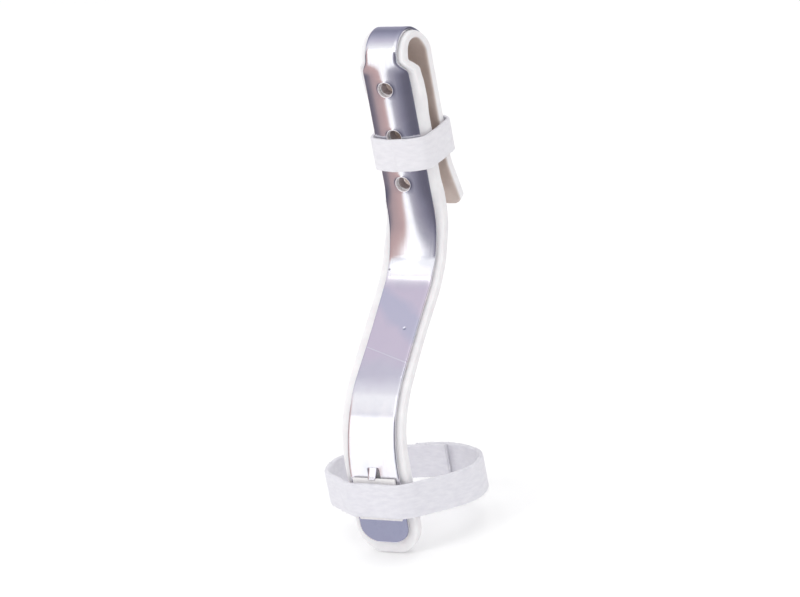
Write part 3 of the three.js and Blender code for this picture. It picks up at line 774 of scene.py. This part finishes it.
def new_material(name):
    material = bpy.data.materials.new(name)
    material.use_nodes = True
    tree = Tree(material.node_tree)
    return material, tree, tree.nodes["Principled BSDF"]


def palm_reflections_and_marks(tree, uv, wobble):
    """Masks on the palm: a slanting blue-grey band, the palm itself and a fine line, which carry painted
    reflections, and a dent and a speck. Their places and sizes are in millimetres, across and along the strip."""
    place = tree.split(uv)
    u, v = place["X"], place["Y"]
    m = tree.maths

    def near(slope, height, reach, soft):
        """A band that crosses the middle line at a height, with soft edges that the wobble frays."""
        away = m("ABSOLUTE", m("SUBTRACT", m("MULTIPLY_ADD", u, slope, v), height * MM))
        away = m("ADD", away, m("MULTIPLY", m("SUBTRACT", wobble, 0.5), 2.5 * soft * MM))
        return m("SUBTRACT", 1, tree.rise(away, reach * MM, soft * MM))

    def spot(across, along, radius):
        du, dv = m("SUBTRACT", u, across * MM), m("SUBTRACT", v, along * MM)
        away = m("SQRT", m("ADD", m("MULTIPLY", du, du), m("MULTIPLY", dv, dv)))
        return m("SUBTRACT", 1, m("DIVIDE", away, radius * MM, clamp=True))

    # The band, the palm and the line mask painted reflections; the dent and the speck are marks
    band = near(slope=0.67, height=90.5, reach=2.5, soft=5)
    palm = near(slope=0, height=87, reach=13, soft=8)
    line = near(slope=0.33, height=72.4, reach=0.08, soft=0.16)
    dent = spot(across=4.4, along=83.6, radius=0.75)
    speck = spot(across=-8.6, along=108.2, radius=0.6)
    return band, palm, line, dent, speck


LEAN, LEAN_AT, LEAN_REACH = 0.085, distance_to("knuckle", 0.27), 3


def leaning(tree, uv, normal):
    """The normal, leaning a little to the right near LEAN_AT, where the strip bends at the knuckle. Only the
    shading leans, and brings the white reflection where the photograph shows it."""
    away = tree.maths("ABSOLUTE", tree.maths("SUBTRACT", tree.split(uv)["Y"], LEAN_AT * MM))
    share = tree.maths("SUBTRACT", 1, tree.rise(away, LEAN_REACH * MM, LEAN_REACH * MM))
    sideways = tree.add("ShaderNodeCombineXYZ", X=tree.maths("MULTIPLY", share, LEAN)).outputs["Vector"]
    turned = tree.add("ShaderNodeVectorMath", operation="ADD")
    tree.feed(turned.inputs[0], normal)
    tree.feed(turned.inputs[1], sideways)
    unit = tree.add("ShaderNodeVectorMath", operation="NORMALIZE", Vector=turned.outputs["Vector"])
    return unit.outputs["Vector"]


WHITE = (1, 1, 1)
STAINS = [(0.3, (0.8, 0.81, 0.86)), (0.5, (0.88, 0.88, 0.91)), (0.72, (0.84, 0.82, 0.87))]
# Colours painted on the palm: a lilac painted reflection on the palm, a blue-grey painted reflection band, and
# a dark speck
PALM_PAINTED_REFLECTION, BAND_PAINTED_REFLECTION, SPECK_DARK = (0.95, 0.86, 0.92), (0.8, 0.81, 0.89), (0.12, 0.11, 0.13)


def metal_material():
    """Brushed aluminium with a few stains, painted reflections on the palm (a lilac tint, a slanting blue-grey
    band and a fine white line), a dent and a dark speck.
    """
    material, tree, shader = new_material("brushed_aluminium")
    uv = tree.strip_uv()
    brush = tree.noise(uv, stretch=(9000, 90, 1), detail=4)
    coarse = tree.noise(uv, stretch=(2200, 30, 1))
    stain = tree.noise(tree.solid(), stretch=(90, 45, 90), detail=4)
    tone = tree.ramp(stain, STAINS)
    band, palm, line, dent, speck = palm_reflections_and_marks(tree, uv, stain)
    # Painted reflections on the palm: a lilac tint, a slanting blue-grey band and a fine white highlight line
    tone = tree.over(tone, PALM_PAINTED_REFLECTION, tree.maths("MULTIPLY", palm, 0.75))
    tone = tree.over(tone, BAND_PAINTED_REFLECTION, tree.maths("MULTIPLY", palm, band))
    tone = tree.over(tone, WHITE, line)
    tone = tree.over(tone, SPECK_DARK, speck)
    rough = tree.ramp(coarse, [(0.25, (0.10,) * 3), (0.75, (0.2,) * 3)])
    brushed = tree.relief(tree.maths("ADD", brush, coarse), 0.06, 0.0001)
    dented = tree.relief(dent, 1, 0.00025, invert=True, Normal=brushed)
    tree.give(shader, Base_Color=tone, Metallic=1, Roughness=rough, Normal=leaning(tree, uv, dented))
    return material


def foam_material():
    """White closed-cell foam, with painted shade, a brown tone, on its inner side along the finger."""
    material, tree, shader = new_material("closed_cell_foam")
    solid = tree.solid()
    cells = tree.noise(solid, scale=1900, detail=4, rough=0.6)
    soft = tree.noise(solid, scale=160)
    clean = tree.ramp(soft, [(0.3, (0.85, 0.83, 0.85)), (0.7, (0.92, 0.91, 0.92))])
    # Painted shade: a brown tone on the foam's inner side along the finger, where shade falls inside the loop
    painted_shade = tree.ramp(soft, [(0.3, (0.5, 0.41, 0.37)), (0.7, (0.6, 0.51, 0.47))])
    depth = tree.add("ShaderNodeAttribute", attribute_name="inner").outputs["Fac"]
    inside = tree.ramp(depth, [(0.8, (0, 0, 0)), (0.98, (1, 1, 1))])
    tree.give(shader, Base_Color=tree.over(clean, painted_shade, inside), Roughness=0.8, Subsurface_Weight=0.1,
              Subsurface_Radius=(0.003, 0.0022, 0.0022), Subsurface_Scale=0.5,
              Normal=tree.relief(cells, 0.25, 0.0002))
    return material


def grainy_material(name, scale, detail, low, high, strength, distance, **inputs):
    """A material whose fine grain runs from one colour to another and stands out as relief."""
    material, tree, shader = new_material(name)
    grain = tree.noise(tree.solid(), scale=scale, detail=detail)
    tree.give(shader, Base_Color=tree.ramp(grain, [(0.3, low), (0.7, high)]),
              Normal=tree.relief(grain, strength, distance), **inputs)
    return material


def rim_material():
    """The raised edge that the punch leaves round a hole, with a painted highlight: a pale, half-metallic
    colour that stands in for the light its lip reflects.
    """
    return grainy_material("rim_painted_highlight", 2500, 3, (0.86, 0.82, 0.85), (0.98, 0.96, 0.98), 0.1, 0.0001,
                           Metallic=0.3, Roughness=0.4)


def punched_wall_material():
    """The foam's punched wall inside a hole, with painted shade: darker than its skin, where shade falls in the
    hole.
    """
    return grainy_material("punched_foam_wall_painted_shade", 1800, 4, (0.34, 0.28, 0.28), (0.5, 0.43, 0.44), 0.4, 0.0002,
                           Roughness=0.85)


def strap_material(name, low, high):
    """Brushed fabric: a fine pile, and a nap that runs along the strap."""
    material, tree, shader = new_material(name)
    nap = tree.noise(tree.strip_uv(), stretch=(700, 260, 1), detail=4)
    pile = tree.noise(tree.solid(), scale=3200, rough=0.6)
    tree.give(shader, Base_Color=tree.ramp(nap, [(0.3, low), (0.7, high)]), Roughness=0.92,
              Sheen_Weight=0.35, Sheen_Roughness=0.45,
              Normal=tree.relief(tree.maths("ADD", pile, nap), 0.5, 0.00025))
    return material


def floor_material():
    material, tree, shader = new_material("pale_floor")
    grain = tree.noise(tree.solid(), scale=30, detail=2)
    tree.give(shader, Base_Color=tree.ramp(grain, [(0.3, (0.93,) * 3), (0.7, (0.95,) * 3)]), Roughness=0.9,
              Emission_Color=WHITE, Emission_Strength=0.1)
    return material


FLOOR, FLOOR_REACH, SWEEP_START, SWEEP_RADIUS, SWEEP_TOP = -23.3, 2500, 900, 500, 2600


def make_floor():
    """A pale floor that sweeps up behind the object, square to the camera's direction."""
    profile = [(-FLOOR_REACH, 0), (SWEEP_START, 0)]
    profile += [(SWEEP_START + SWEEP_RADIUS * math.sin(a), SWEEP_RADIUS * (1 - math.cos(a)))
                for a in np.linspace(0.1, math.pi / 2, 12)]
    profile += [(SWEEP_START + SWEEP_RADIUS, SWEEP_TOP)]
    cos, sin = math.cos(AZIMUTH), math.sin(AZIMUTH)
    points = [(x * cos - y * sin, x * sin + y * cos, z + FLOOR)
              for y, z in profile for x in (-FLOOR_REACH, FLOOR_REACH)]
    faces = [(2 * i, 2 * i + 1, 2 * i + 3, 2 * i + 2) for i in range(len(profile) - 1)]
    floor = mesh_object("floor_sweep", points, None, faces)
    floor.data.materials.append(floor_material())
    floor.visible_glossy = False


# Cards near the object, seen only in the metal. The metal turns the camera's view to a direction that has
# REFLECTED_X along X and REFLECTED_REST across it, and rises by twice the metal's lean less VIEW_TURN degrees
REFLECTED_X, REFLECTED_REST, VIEW_TURN = -0.484, 0.875, 23
CARD_WHITE, CARD_SLATE = (1.5, 1.5, 1.52), (0.36, 0.37, 0.5)
CARD_REACH = 80


def make_card(name, left, right, y, low, high, colour):
    """An upright card of even light, which only the metal reflects."""
    points = [(left, y, low), (right, y, low), (right, y, high), (left, y, high)]
    card = mesh_object(name, points, None, [(0, 1, 2, 3)])
    material, tree, shader = new_material(name)
    tree.give(shader, Base_Color=(0, 0, 0), Emission_Color=colour, Emission_Strength=1)
    card.data.materials.append(material)
    card.visible_camera = card.visible_diffuse = card.visible_shadow = card.visible_transmission = False


def seen_in_bend(name, angle):
    """The y and z, CARD_REACH in front of the strip, that show in a bend's place that leans by the angle."""
    distance = np.linspace(START[name], START[name] + LENGTH[name], 400)
    y, z, lean = spine_at(distance)
    index = int(np.argmin(np.abs(lean - math.radians(angle))))
    turn = math.radians(2 * angle - VIEW_TURN)
    far = CARD_REACH / (REFLECTED_REST * math.cos(turn))
    return y[index] - CARD_REACH, z[index] + far * REFLECTED_REST * math.sin(turn)


def make_cards():
    """A slate card by the foot of the strip, and a white one that the knuckle and the loop reflect."""
    make_card("foot_card", -60, 30, -50, -45, -13, CARD_SLATE)
    low, (y, high) = seen_in_bend("knuckle", 41.8)[1] + 0.5, seen_in_bend("loop", 36.5)
    make_card("loop_card", -80, 40, y, low, high, CARD_WHITE)


# What the metal reflects. FRONT_CARD goes by the turn in degrees, from straight down (-90) over the front (0)
# to straight up (90) and behind; the other two go from -X (0) to +X (1)
FRONT_TURNS = [
    (-90, (0.98, 0.98, 1.03)), (10, (1.3, 1.3, 1.32)), (35, CARD_WHITE), (38, (1.1, 1.1, 1.12)),
    (39.5, (0.74, 0.74, 0.82)), (44, (0.97, 0.97, 1.0)), (60, (0.99, 0.99, 1.02)), (63, (0.84, 0.83, 0.89)),
    (70, (0.78, 0.77, 0.85)), (79, (0.64, 0.62, 0.72)), (86, (0.59, 0.565, 0.68)), (100, (0.45, 0.45, 0.56)),
    (113, (0.36, 0.36, 0.47)), (135, (0.25, 0.25, 0.34)), (178, (0.4, 0.4, 0.5)),
]
FRONT_CARD = [((degrees / 180 + 1) / 2, colour) for degrees, colour in FRONT_TURNS]
RIGHT_CARD = [
    (0.3, (0.55, 0.53, 0.61)), (0.38, (0.44, 0.43, 0.5)), (0.46, (0.33, 0.32, 0.39)),
    (0.54, (0.235, 0.23, 0.3)), (0.64, (0.155, 0.15, 0.2)), (0.76, (0.13, 0.125, 0.17)),
    (0.85, (0.17, 0.17, 0.22)),
]
LEFT_CARD = [
    (0.015, (0.1, 0.1, 0.15)), (0.035, (0.24, 0.21, 0.25)), (0.07, (0.46, 0.35, 0.36)),
    (0.18, (0.6, 0.42, 0.41)),
]
UPPER_CARD = (1.05, 1.05, 1.08)
PLAIN_LIGHT = 0.66


def make_world():
    """A plain white world, but in the metal's reflections FRONT_CARD by the turn round X, darker cards at
    its sides, UPPER_CARD above on the right, and a white patch that the knuckle reflects."""
    world = bpy.data.worlds.new("studio")
    bpy.context.scene.world = world
    world.use_nodes = True
    tree = Tree(world.node_tree)
    tree.nodes.clear()
    m = tree.maths
    direction = tree.split(tree.add("ShaderNodeTexCoord").outputs["Generated"])
    aside = direction["X"]
    turn = m("MULTIPLY", m("ARCTAN2", direction["Z"], m("MULTIPLY", direction["Y"], -1)), 1 / math.pi)
    front = tree.ramp(m("MULTIPLY_ADD", turn, 0.5, 0.5), FRONT_CARD)
    right = tree.ramp(m("MULTIPLY_ADD", aside, 0.5, 0.5), RIGHT_CARD)
    left = tree.ramp(m("MULTIPLY_ADD", aside, 0.5, 0.5), LEFT_CARD)
    low = m("SUBTRACT", 1, tree.rise(turn, 0.26, 0.1))
    to_right, to_left = tree.rise(aside, -0.39, 0.09), tree.rise(aside, -0.53, -0.06)
    upper = m("MULTIPLY", tree.rise(turn, 0.2, 0.04), tree.rise(turn, 0.47, -0.1))
    knuckle = m("MULTIPLY", tree.between(aside, -0.415, -0.3), tree.between(turn, 0.2, 0.333))
    tone = tree.over(front, right, m("MULTIPLY", to_right, low))
    tone = tree.over(tone, left, m("MULTIPLY", to_left, low))
    tone = tree.over(tone, UPPER_CARD, m("MULTIPLY", to_right, upper))
    tone = tree.over(tone, CARD_WHITE, knuckle)
    mix = tree.add("ShaderNodeMixShader", Fac=tree.add("ShaderNodeLightPath").outputs["Is Glossy Ray"])
    plain = tree.add("ShaderNodeBackground", Color=WHITE, Strength=PLAIN_LIGHT)
    tree.feed(mix.inputs[1], plain.outputs["Background"])
    tree.feed(mix.inputs[2], tree.add("ShaderNodeBackground", Color=tone).outputs["Background"])
    tree.add("ShaderNodeOutputWorld", Surface=mix.outputs["Shader"])


LIGHT_AIM, LIGHT_SIZE = (0, 10, 80), 500


def hide_from_metal(light):
    light.visible_glossy = False
    bpy.context.scene.collection.objects.link(light)


def area_light(name, place, power):
    """A large square light that faces the object."""
    data = bpy.data.lights.new(name, "AREA")
    data.size, data.energy = LIGHT_SIZE * MM, power
    light = bpy.data.objects.new(name, data)
    light.location = Vector(place) * MM
    light.rotation_mode = "QUATERNION"
    light.rotation_quaternion = (Vector(LIGHT_AIM) - Vector(place)).to_track_quat("-Z", "Y")
    hide_from_metal(light)


def top_light(name, power, degrees):
    """Soft light from straight above."""
    light = bpy.data.objects.new(name, bpy.data.lights.new(name, "SUN"))
    light.data.energy, light.data.angle = power, math.radians(degrees)
    hide_from_metal(light)


def dress(piece, node, slot, *materials):
    """Give a piece its materials, and let it take its node's place."""
    for material in materials:
        piece.data.materials.append(material)
    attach(piece, "root")
    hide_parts(node)


strip = make_strip()
foam = make_foam()
finger_strap, finger_strap_length = make_finger_strap()
wrist_strap, wrist_strap_length = make_wrist_strap()
patch = make_patch()
finger_velour = strap_material("finger_strap_velour", (0.795, 0.78, 0.825), (0.865, 0.85, 0.89))
wrist_velour = strap_material("wrist_strap_velour", (0.76, 0.75, 0.81), (0.84, 0.83, 0.88))
patch_nylon = strap_material("hook_patch_nylon", (0.86, 0.84, 0.84), (0.93, 0.91, 0.91))
dress(strip, "splint_strip", "aluminium", metal_material(), rim_material())
dress(foam, "foam_lining", "foam", foam_material(), punched_wall_material())
dress(finger_strap, "finger_strap", "strap", finger_velour)
dress(wrist_strap, "wrist_strap", "strap", wrist_velour)
dress(patch, "hook_patch", "hook", patch_nylon)
make_floor()
make_cards()
make_world()
area_light("key_soft", (-500, -700, 700), 2.0)
area_light("fill_soft", (700, -500, 400), 0.6)
top_light("top_soft", 0.85, degrees=60)
bpy.context.scene.view_settings.view_transform = "Standard"
